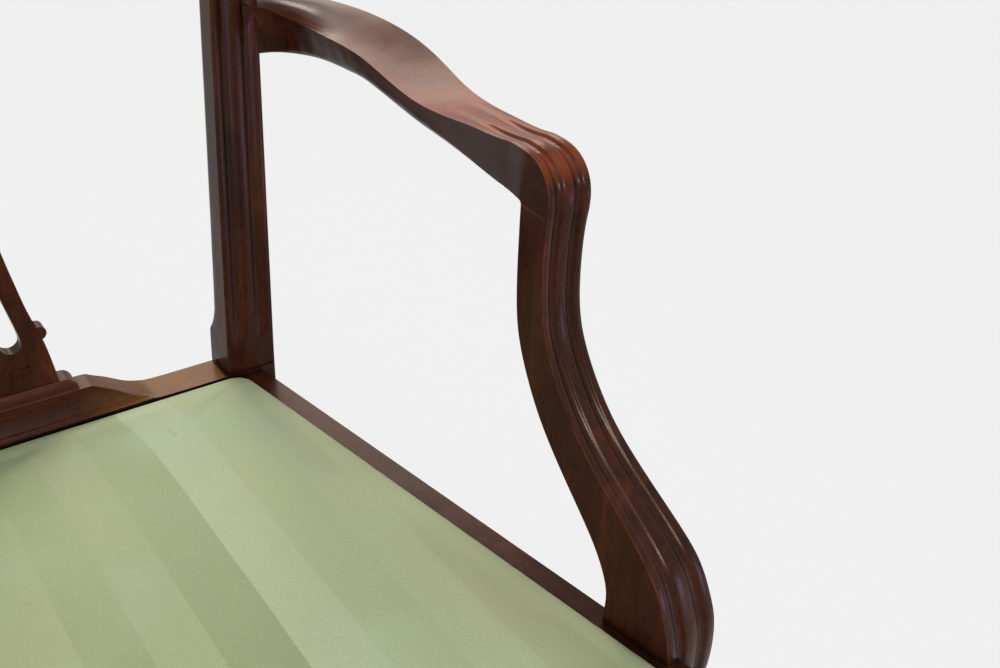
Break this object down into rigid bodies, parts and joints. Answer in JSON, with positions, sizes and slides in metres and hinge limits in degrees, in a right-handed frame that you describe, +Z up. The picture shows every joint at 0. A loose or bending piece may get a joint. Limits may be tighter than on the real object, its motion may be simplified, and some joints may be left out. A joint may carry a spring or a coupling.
{
  "type": "open armchair with drop-in seat",
  "caption": "Open dining armchair: raking moulded posts, pierced splat, shaped arms on curved supports, straight moulded front legs with stretchers, and a lift-out upholstered seat.",
  "frame": {"origin": "on the floor, at the middle of the bounding box", "axes": "+Z up, the sitter faces -Y and the back is towards +Y, +X towards the arm that the picture shows"},
  "size_m": [0.5788, 0.5086, 0.965],
  "materials": {
    "polished_wood": "dark red-brown hardwood, French polished, worn to a warmer brown on the edges",
    "inner_wood": "plain unpolished pale hardwood",
    "striped_cover": "satin-woven furnishing cloth in two close sage greens, striped from front to back",
    "webbing": "jute webbing",
    "base_cloth": "coarse hessian",
    "stuffing": "curled hair under wadding",
    "iron_fixing": "dull dark iron"
  },
  "bodies": {
    "chair_frame": {"back_post_left": "polished_wood", "back_post_right": "polished_wood", "crest_rail": "polished_wood", "splat": "polished_wood", "shoe": "polished_wood", "back_rail": "polished_wood", "side_rail_left": "polished_wood", "side_rail_right": "polished_wood", "front_rail": "polished_wood", "front_leg_left": "polished_wood", "front_leg_right": "polished_wood", "side_stretcher_left": "polished_wood", "side_stretcher_right": "polished_wood", "cross_stretcher": "polished_wood", "rear_stretcher": "polished_wood", "arm_left": "polished_wood", "arm_right": "polished_wood", "arm_support_left": "polished_wood", "arm_support_right": "polished_wood", "corner_brace_front_left": "inner_wood", "corner_brace_front_right": "inner_wood", "corner_brace_rear_left": "inner_wood", "corner_brace_rear_right": "inner_wood", "brace_screws": "iron_fixing", "support_screws": "iron_fixing"},
    "drop_in_seat": {"seat_frame_front": "inner_wood", "seat_frame_rear": "inner_wood", "seat_frame_left": "inner_wood", "seat_frame_right": "inner_wood", "webbing_front_to_back": "webbing", "webbing_side_to_side": "webbing", "webbing_tacks": "iron_fixing", "base_cloth": "base_cloth", "seat_stuffing": "stuffing", "seat_cover": "striped_cover", "cover_tacks": "iron_fixing"}
  },
  "joints": [
    {"name": "seat_lift", "type": "slide", "parent": "chair_frame", "child": "drop_in_seat", "axis": [0, 0, 1], "range_m": [0, 0.56]}
  ]
}
